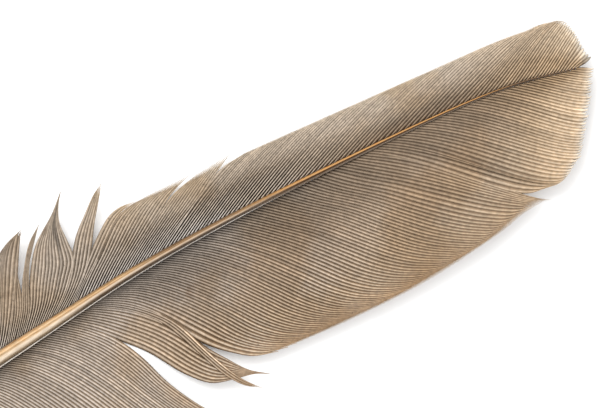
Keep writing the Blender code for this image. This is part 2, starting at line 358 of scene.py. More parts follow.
def spot(station, offset):
    """Plan point at a station and an offset, positive towards the leading vane."""
    return shaft_point(station) + np.asarray(offset)[..., None] * across(station)


def nearest_station(points, guess):
    station = guess
    for _ in range(6):
        along = np.sum((points - shaft_point(station)) * directions(heading(station)), axis=-1)
        station = np.clip(station + along, 0.0, SHAFT_LENGTH + 4)
    return station


def bow(station):
    """Height of the shaft's underside above the surface it lies on."""
    quill = np.clip((REST_FROM - station) / REST_FROM, 0, None)
    tip = np.clip((station - REST_TO) / (SHAFT_LENGTH - REST_TO), 0, None)
    return QUILL_RISE * quill**2 + TIP_RISE * tip**2


def sheet_height(side, points, guess):
    """Height of the middle of the vane's sheet at plan points."""
    station = nearest_station(points, guess)
    offset = np.linalg.norm(points - shaft_point(station), axis=-1)
    out = np.clip(offset - DISH_FROM[side], 0, None) / DISH_WIDTH[side]
    dish = edge_rise[side](station) * out**2 / (DISH_ROUND + (1 - DISH_ROUND) * out)
    return bow(station) + SHEET_MIDDLE + dish


def frame_shift():
    """From the feather's own plan to the frame, where the shaft has the same box."""
    stations = np.linspace(0, SHAFT_LENGTH, 400)
    half = shaft_width(stations) / 2
    edges = np.concatenate([spot(stations, half), spot(stations, -half)])
    low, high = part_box("shaft")
    middle = (np.array(low[:2]) + np.array(high[:2])) / 2
    return middle - MM * (edges.min(axis=0) + edges.max(axis=0)) / 2


SHIFT = frame_shift()


def place(points, height):
    """Plan points and heights in millimetres to points in the frame, in metres."""
    plan = np.asarray(points) * MM + SHIFT
    return np.concatenate([plan, np.asarray(height)[..., None] * MM], axis=-1)


# ---- barbs ----

def barb_roots(first, last, side):
    """Root stations from one to another, at the real spacing."""
    roots = [first]
    while roots[-1] < last:
        roots.append(roots[-1] + float(spacing[side](roots[-1])))
    roots = np.array(roots)
    return first + (roots - first) * (last - first) / (roots[-1] - first)


def bezier(start, first, second, end):
    """One row of plan points for each cubic curve."""
    t = np.linspace(0, 1, DRAWN_STEPS + 1)[None, :, None]
    u = 1 - t
    return (u**3 * start[:, None] + 3 * u * u * t * first[:, None]
            + 3 * u * t * t * second[:, None] + t**3 * end[:, None])


def unit(vectors):
    return vectors / np.maximum(np.linalg.norm(vectors, axis=-1, keepdims=True), 1e-9)


def lengths_along(paths):
    """Distance from each path's start to each of its points."""
    step = np.linalg.norm(np.diff(paths, axis=1), axis=-1)
    return np.concatenate([np.zeros((len(paths), 1)), np.cumsum(step, axis=1)], axis=1)


def even_steps(paths, steps):
    """The same paths with their points at even distances."""
    far = lengths_along(paths)
    rows = []
    for path, length in zip(paths, far):
        wanted = np.linspace(0, length[-1], steps + 1)
        rows.append(np.stack([np.interp(wanted, length, axis) for axis in path.T], axis=-1))
    return np.array(rows)


def edge_runs(guides, side, roots, tip, length, slope):
    """Where each barb runs on inside its lock's outline, towards the barb rooted at tip.

    Gives the run's points, the direction in which the barb joins it, and how fully.
    """
    fine = np.linspace(guides[0][0], guides[-1][0], 600)
    line = spot(curve(guides, 1)(fine), side * curve(guides, 2)(fine))
    arc = np.r_[0, np.cumsum(np.linalg.norm(np.diff(line, axis=0), axis=-1))]
    own = np.interp(roots, fine, arc)[:, None]
    left = np.interp(tip, fine, arc) - own
    way = np.where(left < 0, -1.0, 1.0)
    reach = np.minimum(length, np.abs(left))
    e = np.linspace(0, 1, DRAWN_STEPS + 1)[None, :]
    s = own + way * reach * e
    points = np.stack([np.interp(s, arc, line[:, 0]), np.interp(s, arc, line[:, 1])], axis=-1)
    tangent = unit(np.stack([np.interp(s, arc, np.gradient(line[:, 0], arc)),
                             np.interp(s, arc, np.gradient(line[:, 1], arc))], axis=-1))
    inward = side * np.stack([tangent[..., 1], -tangent[..., 0]], axis=-1)
    # a lock's outermost barb lies on the outline, with the others inside it
    outside = np.where(way > 0, own - arc[0], arc[-1] - own)
    slope = slope * np.clip(outside / length, 0, 1)
    inset = slope * reach * (1 - e) ** EDGE_POWER
    arrive = way * tangent[:, 0] - slope * EDGE_POWER * inward[:, 0]
    return points + inset[..., None] * inward, arrive, np.clip(reach / FULL_TURN, 0, 1)


def barb_paths(guides, side, roots, tip, length, slope):
    """Plan points of the barbs rooted at some stations: one row a barb, root to tip."""
    tip_station, root_angle, tip_angle = (curve(guides, c)(roots) for c in (1, 3, 4))
    start = spot(roots, side * shaft_width(roots) / 2)
    run, arrive, turned = edge_runs(guides, side, roots, tip, length, slope)
    end = run[:, 0]
    reach = np.linalg.norm(end - start, axis=-1)[:, None]
    own = directions(heading(tip_station) + side * tip_angle)
    last_way = unit(turned * arrive + (1 - turned) * own)
    first = start + ROOT_PULL[side] * reach * directions(heading(roots) + side * root_angle)
    second = end - TIP_PULL * reach * last_way
    return even_steps(np.concatenate([bezier(start, first, second, end), run[:, 1:]], axis=1),
                      BARB_STEPS)


def smooth_path(rows, side):
    """A smooth path in plan through stations and offsets."""
    stations, offsets = np.array(rows, float).T
    knots = spot(stations, side * offsets)
    far = lengths_along(knots[None])[0]
    fine = np.linspace(0, far[-1], DRAWN_STEPS + 1)
    axes = [curve(tuple(zip(far, axis)))(fine) for axis in knots.T]
    return even_steps(np.stack(axes, axis=-1)[None], BARB_STEPS)[0]


def loft_paths(known, side, roots):
    """Barbs rooted at some stations, each shaped between the known barbs beside it."""
    paths = np.array([smooth_path(rows, side) for rows in known])
    stations = [rows[0][0] for rows in known]
    points = paths.reshape(len(known), -1)
    blended = [curve(tuple(zip(stations, number)))(roots) for number in points.T]
    return np.stack(blended, axis=-1).reshape(-1, *paths.shape[1:])


def lateral(paths, side):
    """Unit vectors across each barb, towards the neighbour nearer the feather's tip."""
    along = unit(np.gradient(paths, axis=1))
    return side * np.stack([along[..., 1], -along[..., 0]], axis=-1)


def pitches(paths, sideways):
    """Distance from each barb to its neighbours, measured across it."""
    if len(paths) < 2:
        lone = np.full(paths.shape[:2], LONE_PITCH)
        return lone, lone
    step = np.abs(np.sum(np.diff(paths, axis=0) * sideways[:-1], axis=-1))
    out = smoothstep(np.linspace(-FREE_SIDE_KEPT, 1, paths.shape[1]))
    free = FREE_SIDE_ROOT + (FREE_SIDE_TIP - FREE_SIDE_ROOT) * out
    before = np.concatenate([free * step[:1], step])
    after = np.concatenate([step, free * step[-1:]])
    return np.clip(before, MIN_PITCH, MAX_PITCH), np.clip(after, MIN_PITCH, MAX_PITCH)


def ribbons(paths, heights, side, taper):
    """Barbs as closed ribbons, each a rounded rib with a thin web on both sides.

    taper is the length over which each barb narrows to its tip.  Gives the points in the
    frame, one row a barb, one ring a step, and the numbers that the material reads.
    """
    sideways = lateral(paths, side)
    before, after = pitches(paths, sideways)
    far = lengths_along(paths)
    total = far[:, -1:]
    t = far / total
    narrow = np.clip((total - far) / taper, NARROWEST, 1) ** NARROWING
    pitch = np.minimum(before, after)
    left = -(0.5 + WEB_LAP) * before * narrow
    right = (0.5 + WEB_LAP) * after * narrow
    rib = (RIB_ROOT + (RIB_TIP - RIB_ROOT) * t) * pitch * narrow
    ridge = RIDGE_TIP + (RIDGE_ROOT - RIDGE_TIP) * (1 - t) ** RIDGE_FALL
    ridge = np.minimum(ridge, RIDGE_LIMIT * pitch) * (RIDGE_LEAST + (1 - RIDGE_LEAST) * narrow)
    layer = WEB_LAYER * np.clip(pitch / FULL_LAYER_PITCH, 0, 1) * narrow
    shoulder = SHOULDER_OUT * rib
    places = (
        (left, -layer), (-rib, FOOT_UP * ridge), (-shoulder, SHOULDER_UP * ridge), (0 * rib, ridge),
        (shoulder, SHOULDER_UP * ridge), (rib, FOOT_UP * ridge), (right, layer),
        (0 * rib, -KEEL * narrow),
    )
    rings = [place(paths + out[..., None] * sideways, heights + up) for out, up in places]
    numbers = {
        "across": np.array(SECTION_ACROSS),
        "along": t[..., None],
        "to_tip": (total - far)[..., None],
        "from_root": far[..., None],
    }
    return np.stack(rings, axis=2), numbers


def tube_faces(count, rings, section, turned_round):
    """Faces of closed tubes, with their ends capped and their outsides out."""
    index = np.arange(count * rings * section).reshape(count, rings, section)
    turned = np.roll(index, -1, axis=2)
    sides = np.stack([index[:, :-1], index[:, 1:], turned[:, 1:], turned[:, :-1]], axis=-1)
    faces = sides.reshape(-1, 4)
    roots = index[:, 0]
    tips = index[:, -1, ::-1]
    if turned_round:
        faces, roots, tips = faces[:, ::-1], roots[:, ::-1], tips[:, ::-1]
    return faces.tolist() + roots.tolist() + tips.tolist()


def build_mesh(name, points, faces, numbers):
    """A mesh that stores numbers at its points, for a material to read."""
    mesh = bpy.data.meshes.new(name)
    mesh.from_pydata(points.tolist(), [], faces)
    mesh.shade_smooth()
    for key, value in numbers.items():
        layer = mesh.attributes.new(key, "FLOAT", "POINT")
        layer.data.foreach_set("value", np.asarray(value, np.float32).reshape(-1))
    return mesh


def add_object(name, data):
    added = bpy.data.objects.new(name, data)
    bpy.context.scene.collection.objects.link(added)
    return added


def add_piece(name, mesh, material, node):
    """Puts a mesh in the scene as a piece that stands for a CAD node."""
    mesh.materials.append(material)
    piece = add_object(name, mesh)
    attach(piece, "root")
    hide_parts(node)
    return piece


def barb_tones(roots):
    """Lightness of each barb: its own, and that of the bundle of barbs that it lies in."""
    bundle = 0.5 * np.sin(roots * 2.1 + 1.0) + 0.3 * np.sin(roots * 0.83)
    bundle = bundle + 0.2 * np.sin(roots * 5.3)
    tones = np.clip(0.5 + 0.16 * bundle + 0.17 * rng.normal(size=len(roots)), 0, 1)
    return tones + PALE_BY * (rng.random(len(roots)) < PALE_SHARE)


def fan(guides, side, run=None):
    """Barbs that fan out to the vane's outline and run on along it: roots and paths."""
    roots = barb_roots(guides[0][0], guides[-1][0], side)
    length = edge_run[side](roots)[:, None] if run is None else run
    return roots, barb_paths(guides, side, roots, guides[-1][0], length, EDGE_SLOPE)


def loft(known, side, count=None):
    """Barbs between known ones, at the real spacing or as many as count: roots and paths."""
    first, last = known[0][0][0], known[-1][0][0]
    roots = barb_roots(first, last, side) if count is None else np.linspace(first, last, count)
    return roots, loft_paths(known, side, roots)


def lock_barbs(side, barbs, lift=0.0, marks=()):
    """Points of one lock's barbs in the frame, and the numbers for the material.

    lift: how far its outer part lies above the vane.  marks: where one barb is paler or
    darker: its index, how much paler, and from where to where along it.
    """
    roots, paths = barbs
    far = lengths_along(paths)
    t = far / far[:, -1:]
    # a tip runs a little past its neighbour's, or falls a little short
    uneven = rng.normal(0, 1, (len(roots), 1)) * tip_unevenness[side](roots)[:, None]
    last_way = unit(paths[:, -1:] - paths[:, -4:-3])
    paths = paths + (uneven * t**TIP_POWER)[..., None] * last_way
    heights = sheet_height(side, paths, roots[:, None] + 0 * t)
    heights = heights + rng.normal(0, HEIGHT_JITTER, (len(roots), 1)) * t
    heights = heights + lift * smoothstep((t - LIFT_FROM) / LIFT_OVER)
    heights = heights - root_sink(roots)[:, None] * (1 - smoothstep(far / SINK_REACH))
    verts, values = ribbons(paths, heights, side, fringe[side](roots)[:, None])
    tones = barb_tones(roots)[:, None] + 0 * t
    for which, paler, start, stop in marks:
        fade_in = smoothstep((t[which] - start) / MARK_SOFTNESS)
        fade_out = smoothstep((stop - t[which]) / MARK_SOFTNESS)
        tones[which] += paler * (fade_in * fade_out)
    station = nearest_station(paths, roots[:, None] + 0 * t) / SHAFT_LENGTH
    values["tone"] = tones[..., None]
    values["station"] = station[..., None]
    return verts, values


def joined(blocks):
    """Points and faces of several meshes as those of one."""
    points, faces, offset = [], [], 0
    for block_points, block_faces in blocks:
        points.append(block_points)
        faces += [[v + offset for v in face] for face in block_faces]
        offset += len(block_points)
    return np.concatenate(points), faces


def vane_piece(node, side, material, locks):
    """All the barbs of one CAD node, lock by lock."""
    blocks, numbers = [], {}
    for item in locks:
        verts, values = lock_barbs(side, **item)
        shape = verts.shape[:3]
        blocks.append((verts.reshape(-1, 3), tube_faces(*shape, side == TRAILING)))
        for key, value in values.items():
            numbers.setdefault(key, []).append(np.broadcast_to(value, shape).reshape(-1))
    numbers = {key: np.concatenate(value) for key, value in numbers.items()}
    mesh = build_mesh(node + "_barbs", *joined(blocks), numbers)
    return add_piece(node + "_barbs", mesh, material, node)


# ---- the shaft ----

SHAFT_RINGS = 260
# rings crowd towards the quill's end
RING_CROWDING = 1.1
# strips round the upper side and underside
SHAFT_TOP = 48
SHAFT_UNDER = 16
# the round quill turns into a keeled shaft from this station, over this length
KEELED_FROM = 40.0
KEELED_OVER = 25.0
# station, trailing foot of the shaft's keel as a share of the half width
KEEL_FOOT = (
    (40, -0.7), (85, -0.68), (118, -0.62), (135, -0.42), (150, -0.22), (165, -0.1), (206.5, -0.2),
)
# its leading foot
KEEL_EDGE = 0.93
# how flat the keel's crown is, and how steep its flanks
KEEL_CROWN = 2.8
KEEL_FLANK = 0.6
# the flat beside the keel and the edges below it, as shares of the shaft's depth
FLAT_LEVEL = 0.36
EDGE_LEVEL = 0.3
# share of the half width that each edge's rounding takes
EDGE_ROUND = 0.06
# a furrow on the crown and a ledge on the trailing edge: size, place, spread
FURROW = (0.06, 0.1, 0.12)
LEDGE = (0.1, -0.9, 0.09)


def bulge(x, size, where, spread):
    """A smooth bulge across the shaft."""
    return size * np.exp(-((x - where) / spread) ** 2)


def shaft_piece(material):
    """Quill and rachis: a keel with a flat crown, and a ledge on its trailing side."""
    station = SHAFT_LENGTH * np.linspace(0, 1, SHAFT_RINGS + 1) ** RING_CROWDING
    half = shaft_width(station)[:, None] / 2
    depth = shaft_depth(station)[:, None]
    keeled = smoothstep((station - KEELED_FROM) / KEELED_OVER)[:, None]
    foot = curve(KEEL_FOOT)(station)[:, None]
    # the upper side, from the trailing edge at -1 to the leading edge at 1
    x = -np.cos(np.linspace(0, math.pi, SHAFT_TOP + 1))[None, :]
    round_top = depth * (0.5 + 0.5 * np.sqrt(np.clip(1 - x * x, 0, None)))
    middle, reach = (foot + KEEL_EDGE) / 2, (KEEL_EDGE - foot) / 2
    keel = np.clip(1 - np.abs((x - middle) / reach) ** KEEL_CROWN, 0, None) ** KEEL_FLANK
    keel_top = FLAT_LEVEL + (1 - FLAT_LEVEL) * keel - bulge(x - middle, *FURROW) + bulge(x, *LEDGE)
    keel_top = depth * keel_top
    ends = np.clip((1 - np.abs(x)) / EDGE_ROUND, 0, 1)
    keel_top = EDGE_LEVEL * depth + (keel_top - EDGE_LEVEL * depth) * ends**0.5
    top = (1 - keeled) * round_top + keeled * keel_top
    # the underside, back from the leading edge to the trailing edge
    x_under = np.cos(np.linspace(0, math.pi, SHAFT_UNDER + 1))[None, 1:-1]
    belly = (1 - keeled) * 0.5 * depth + keeled * EDGE_LEVEL * depth
    under = belly * (1 - np.sqrt(np.clip(1 - x_under * x_under, 0, None)))
    around = np.concatenate([x, x_under], axis=1)
    offsets = half * around
    heights = np.concatenate([top, under], axis=1) + bow(station)[:, None]
    points = shaft_point(station)[:, None] + offsets[..., None] * across(station)[:, None]
    verts = place(points, heights)
    faces = tube_faces(1, *verts.shape[:2], True)
    numbers = {
        "around": np.broadcast_to(around, offsets.shape),
        "station": np.broadcast_to(station[:, None] / SHAFT_LENGTH, offsets.shape),
    }
    mesh = build_mesh("shaft_horn", verts.reshape(-1, 3), faces, numbers)
    return add_piece("shaft_horn", mesh, material, "shaft")


# ---- down ----

UP = np.array([0.0, 0.0, 1.0])
DOWN_BARBS = 30
DOWN_STEPS = 24
DOWN_RUN = 1.0
# how high the roots lie above the vane's sheet, and from where to where the tips rise
DOWN_ROOT_LIFT = 0.3
DOWN_LIFT = (-0.1, 1.8)
# radii, and by how much they shrink towards the tip
STEM_RADIUS = (0.07, 0.045)
BARBULE_RADIUS = (0.028, 0.018)
# barbules on one side of a stem, from where to where along it, and how long they are
BARBULES = 46
BARBULE_STEPS = 3
BARBULES_FROM = 0.08
BARBULES_TO = 0.99
BARBULE_LENGTH = (2.3, 1.3)
BARBULE_CURL = 0.4
LOWEST_DOWN = 0.1


def strands(paths, radii, sides):
    """Closed round strands along paths of points in the frame."""
    along = unit(np.gradient(paths, axis=1))
    level = unit(np.cross(along, UP))
    upright = np.cross(level, along)
    turn = (np.arange(sides) * 2 * math.pi / sides)[:, None]
    ring = np.cos(turn) * level[:, :, None] + np.sin(turn) * upright[:, :, None]
    verts = paths[:, :, None] + radii[..., None, None] * ring
    return verts.reshape(-1, 3), tube_faces(*verts.shape[:3], False)


def down_piece(node, guides, side, material):
    """A tuft of down: soft wavy barbs, each with loose barbules on both sides."""
    roots = np.linspace(guides[0][0], guides[-1][0], DOWN_BARBS)
    plan = even_steps(barb_paths(guides, side, roots, guides[-1][0], DOWN_RUN, 0.0), DOWN_STEPS)
    t = np.linspace(0, 1, DOWN_STEPS + 1)[None, :]
    phase = rng.uniform(0, 2 * math.pi, (DOWN_BARBS, 1))
    wave = 0.7 * t * np.sin(9 * t + phase) + 0.25 * t * np.sin(23 * t + 2 * phase)
    plan = plan + wave[..., None] * lateral(plan, side)
    lift = rng.uniform(*DOWN_LIFT, (DOWN_BARBS, 1)) * t**1.3 + 0.3 * t * np.sin(11 * t + phase)
    heights = sheet_height(side, plan, roots[:, None] + 0 * t) + DOWN_ROOT_LIFT + lift
    stems = place(plan, heights)
    thick, thinning = STEM_RADIUS
    blocks = [strands(stems, MM * (thick - thinning * t) * np.ones((DOWN_BARBS, 1)), 4)]
    # barbules leave the stem on both sides
    spread = np.linspace(BARBULES_FROM, BARBULES_TO, BARBULES)
    which = np.minimum((spread * DOWN_STEPS).astype(int), DOWN_STEPS - 1)
    blend = (spread * DOWN_STEPS - which)[None, :, None]
    base = stems[:, which] * (1 - blend) + stems[:, which + 1] * blend
    forward = unit(stems[:, which + 1] - stems[:, which])
    outward = unit(np.cross(forward, UP))
    e = np.linspace(0, 1, BARBULE_STEPS + 1)
    longest, shorter = BARBULE_LENGTH
    thick, thinning = BARBULE_RADIUS
    for hand in (-1, 1):
        size = MM * (longest - shorter * spread)[None, :, None]
        size = size * rng.uniform(0.7, 1.2, base.shape[:2] + (1,))
        rise = rng.normal(0.1, 0.35, base.shape[:2])
        way = unit(0.6 * forward + hand * outward + rise[..., None] * UP)
        curl = unit(forward + 0.2 * rng.normal(size=base.shape))
        reach = (size * e)[..., None]
        paths = (base[:, :, None] + reach * way[:, :, None]
                 + BARBULE_CURL * reach * e[:, None] * curl[:, :, None])
        paths = paths.reshape(-1, BARBULE_STEPS + 1, 3)
        paths[..., 2] = np.maximum(paths[..., 2], LOWEST_DOWN * MM)
        blocks.append(strands(paths, MM * (thick - thinning * e) * np.ones((len(paths), 1)), 3))
    mesh = build_mesh(node + "_tuft", *joined(blocks), {})
    return add_piece(node + "_tuft", mesh, material, node)


# ---- materials ----

def seen(red, green, blue):
    """Base colour that looks like this sRGB colour (0 to 255) in the studio's light."""
    values = []
    for channel in (red, green, blue):
        c = channel / 255
        linear = c / 12.92 if c <= 0.04045 else ((c + 0.055) / 1.055) ** 2.4
        values.append(linear / EXPOSURE)
    return tuple(values)


def stops(*rows):
    """Stops of a ramp, from rows of a place and the red, green and blue seen there."""
    return [(row[0], seen(*row[1:])) for row in rows]


class Look:
    """A material and short names for the nodes that it is built from."""

    def __init__(self, name, roughness, specular=0.3):
        self.material = bpy.data.materials.new(name)
        self.material.use_nodes = True
        self.nodes = self.material.node_tree.nodes
        self.links = self.material.node_tree.links
        self.shader = self.nodes["Principled BSDF"]
        self.shader.inputs["Roughness"].default_value = roughness
        self.shader.inputs["Specular IOR Level"].default_value = specular

    def set(self, socket, item):
        """Links a socket, or sets a plain colour or number."""
        if isinstance(item, bpy.types.NodeSocket):
            self.links.new(item, socket)
        elif isinstance(item, tuple):
            socket.default_value = (*item, 1)
        else:
            socket.default_value = item

    def add(self, kind, **inputs):
        """A new node with its inputs set; a name's underscores stand for spaces."""
        node = self.nodes.new("ShaderNode" + kind)
        for name, item in inputs.items():
            self.set(node.inputs[name.replace("_", " ")], item)
        return node

    def number(self, name):
        """A number stored with the mesh's points."""
        node = self.add("Attribute")
        node.attribute_name = name
        return node.outputs["Fac"]

    def ramp(self, source, stops):
        """Colours along a number."""
        node = self.add("ValToRGB", Fac=source)
        while len(node.color_ramp.elements) < len(stops):
            node.color_ramp.elements.new(0.5)
        for element, (where, colour) in zip(node.color_ramp.elements, stops):
            element.position = where
            element.color = (*colour, 1)
        return node.outputs["Color"]

    def mix(self, amount, a, b, kind="MIX"):
        """Mixes two colours."""
        node = self.add("Mix")
        node.data_type = "RGBA"
        node.blend_type = kind
        sockets = [socket for socket in node.inputs if socket.enabled]
        for socket, item in zip(sockets, (amount, a, b)):
            self.set(socket, item)
        return [socket for socket in node.outputs if socket.enabled][0]

    def scaled(self, source, low, high, out_low, out_high, kind="SMOOTHSTEP"):
        """A number taken from one range to another, and held at its ends."""
        node = self.add("MapRange", Value=source, From_Min=low, From_Max=high,
                        To_Min=out_low, To_Max=out_high)
        node.interpolation_type = kind
        return node.outputs["Result"]

    def over(self, start, stop, out_start, out_stop):
        """A number that changes between two stations."""
        return self.scaled(self.number("station"), start / SHAFT_LENGTH, stop / SHAFT_LENGTH,
                           out_start, out_stop)

    def maths(self, operation, a, b=0.0):
        node = self.add("Math")
        node.operation = operation
        self.set(node.inputs[0], a)
        self.set(node.inputs[1], b)
        return node.outputs[0]

    def times(self, a, b):
        return self.maths("MULTIPLY", a, b)

    def vector(self, x, y):
        return self.add("CombineXYZ", X=x, Y=y).outputs[0]

    def noise(self, scale, detail, vector=None):
        if vector is None:
            vector = self.add("TexCoord").outputs["Object"]
        return self.add("TexNoise", Scale=scale, Detail=detail, Vector=vector).outputs["Fac"]

    def shade(self, colour, amount):
        """The colour times a number."""
        grey = self.add("CombineColor", Red=amount, Green=amount, Blue=amount).outputs[0]
        return self.mix(1.0, colour, grey, "MULTIPLY")

    def bump(self, height, strength, distance):
        node = self.add("Bump", Strength=strength, Distance=distance, Height=height)
        self.links.new(node.outputs["Normal"], self.shader.inputs["Normal"])

    def colour(self, colour):
        self.links.new(colour, self.shader.inputs["Base Color"])

    def roughness(self, amount):
        self.links.new(amount, self.shader.inputs["Roughness"])


# what a warmer stretch or patch of the vane multiplies its colour by
WARM = (0.9, 0.83, 0.73)


def vane_material(name, web_stops, rib_stops, rib_edge, fade, base_pale, gold, warm_tips):
    """Barbs: a pale rib on a darker web, both changing from root to tip.

    rib_edge: where across the barb the rib's colour gives way to the web's.  fade: how far
    the web gets as pale as the rib further on.  base_pale: how far both get paler near the
    feather's base, from where to where along the barb, and the web's and the rib's colours.
    gold: both colours at the feather's end.  warm_tips: how warm the barbs' outer parts get.
    """
    look = Look(name, 0.62)
    along = look.number("along")
    side = look.maths("ABSOLUTE", look.number("across"))
    rib_here = look.scaled(side, *rib_edge, 1.0, 0.0)
    web = look.ramp(along, web_stops)
    rib = look.ramp(along, rib_stops)
    outer = look.scaled(along, 0.05, 0.7, 0.45, 1.0)
    web = look.mix(look.times(look.over(135, 172, 0.0, fade), outer), web, rib)
    colour = look.mix(rib_here, web, rib)
    # paler and greyer towards the base
    base_tint, start, stop, pale_web, pale_rib = base_pale
    base = look.times(look.over(90, 118, base_tint, 0.0), look.scaled(along, start, stop, 0.1, 1.0))
    colour = look.mix(base, colour, look.mix(rib_here, pale_web, pale_rib))
    # warmer further on, and in patches
    warm = look.times(look.over(122, 160, 0.0, 1.0), look.scaled(along, 0.2, 0.7, 1.0, warm_tips))
    colour = look.mix(warm, colour, WARM, "MULTIPLY")
    brown = look.scaled(look.noise(48, 3), 0.45, 0.62, 0.0, 1.0)
    colour = look.mix(brown, colour, WARM, "MULTIPLY")
    smudges = look.scaled(look.noise(120, 2), 0.68, 0.78, 0.0, 0.5)
    colour = look.mix(smudges, colour, seen(112, 82, 54))
    # softer contrast near the shaft further on
    late = look.times(look.over(136, 168, 0.0, 1.0), look.scaled(along, 0.12, 0.42, 1.0, 0.0))
    colour = look.mix(late, colour, look.mix(rib_here, seen(128, 107, 86), seen(164, 143, 120)))
    # golden towards the feather's end, partly its own colour and partly painted light through the
    # thin vane, and lighter at the barbs' tips there
    end = look.over(178, 204, 0.0, 0.95)
    gold_web, gold_rib = (look.ramp(along, stops) for stops in gold)
    colour = look.mix(end, colour, look.mix(rib_here, gold_web, gold_rib))
    # painted light: the thin tips at the feather's end lightened as if lit through from the floor
    bare = look.scaled(look.number("to_tip"), 0.0, 2.2, 1.0, 0.0)
    bare = look.times(bare, look.over(188, 200, 0.0, 0.8))
    colour = look.mix(bare, colour, seen(253, 240, 220))
    colour = mottled_with_painted_shade(look, colour)
    # barbules lie aslant on both sides of the rib
    slant = look.maths("ADD", look.times(look.number("from_root"), 34.0), look.times(side, -4.0))
    barbules = look.maths("SINE", slant)
    colour = look.shade(colour, look.scaled(barbules, -1, 1, 0.95, 1.05))
    look.colour(colour)
    look.bump(barbules, 0.25, 0.00003)
    look.roughness(look.scaled(look.noise(500, 2), 0.3, 0.7, 0.5, 0.75))
    return look.material


def mottled_with_painted_shade(look, colour):
    """The colour with each barb's own tone (its marks include painted shade of a fold), soft
    patches, grain, streaks and a few specks.
    """
    tone = look.number("tone")
    patches = look.scaled(look.noise(60, 2), 0.3, 0.7, 0.93, 1.07)
    grain = look.scaled(look.noise(1300, 1), 0.3, 0.7, 0.88, 1.12)
    # streaks run along each barb
    place_on = look.vector(look.times(look.number("from_root"), 0.8), look.times(tone, 40.0))
    streaks = look.scaled(look.noise(1.0, 2, place_on), 0.3, 0.7, 0.93, 1.07)
    own = look.scaled(tone, -1, 3, 0.4, 2.0, "LINEAR")
    colour = look.shade(colour, look.times(own, look.times(look.times(patches, grain), streaks)))
    specks = look.scaled(look.noise(1400, 1), 0.74, 0.8, 0.0, 0.55)
    return look.mix(specks, colour, seen(84, 62, 44))


def trailing_material():
    # the web's and the rib's darkest stops at the root are partly the barbs' own grey and partly
    # painted shadow of the shaft
    web = stops(
        (0.0, 74, 66, 61), (0.05, 104, 91, 79), (0.15, 110, 93, 76), (0.35, 134, 114, 93),
        (0.6, 124, 100, 74), (0.8, 150, 122, 94), (1.0, 184, 154, 121),
    )
    rib = stops(
        (0.0, 132, 123, 115), (0.06, 165, 153, 141), (0.2, 174, 159, 145), (0.4, 200, 183, 167),
        (0.7, 211, 193, 172), (1.0, 212, 185, 154),
    )
    gold = (stops((0.0, 114, 90, 62), (0.35, 122, 96, 67), (0.9, 214, 182, 145)),
            stops((0.0, 174, 144, 109), (0.35, 200, 170, 134), (0.9, 242, 217, 186)))
    base_pale = (0.85, 0.02, 0.2, seen(156, 135, 113), seen(217, 202, 188))
    return vane_material("trailing_keratin", web, rib, (0.3, 0.75), 0.3, base_pale, gold, 0.8)


def leading_material():
    # near the root the web's near-black stops are painted shade in the deep gaps between the tall
    # ribs
    web = stops(
        (0.0, 130, 118, 105), (0.04, 62, 50, 39), (0.11, 38, 28, 18), (0.28, 58, 43, 29),
        (0.42, 112, 94, 75), (0.55, 168, 149, 128), (0.72, 200, 180, 157), (0.94, 212, 191, 164),
        (1.0, 158, 130, 96),
    )
    rib = stops(
        (0.0, 240, 233, 226), (0.12, 226, 214, 201), (0.4, 208, 191, 173), (0.7, 210, 192, 172),
        (0.94, 228, 210, 188), (1.0, 182, 154, 120),
    )
    gold = (stops((0.0, 156, 129, 98), (0.35, 146, 119, 88), (0.9, 228, 198, 164)),
            stops((0.0, 226, 196, 160), (0.35, 212, 182, 146), (0.9, 248, 230, 202)))
    base_pale = (0.95, 0.06, 0.34, seen(178, 160, 141), seen(206, 190, 173))
    return vane_material("leading_keratin", web, rib, (0.2, 0.58), 0.9, base_pale, gold, 0.0)


# the pale line on the shaft's trailing edge: pale horn, painted brighter as a highlight because the
# keel keeps it in shadow
PALE_EDGE_HIGHLIGHT = (0.8, 0.74, 0.67)


def edged(edge_stop, *rows):
    """Stops of a ramp across the shaft that starts with its pale edge, painted brighter as a
    highlight.
    """
    return [(0.0, PALE_EDGE_HIGHLIGHT), (edge_stop, PALE_EDGE_HIGHLIGHT)] + stops(*rows)


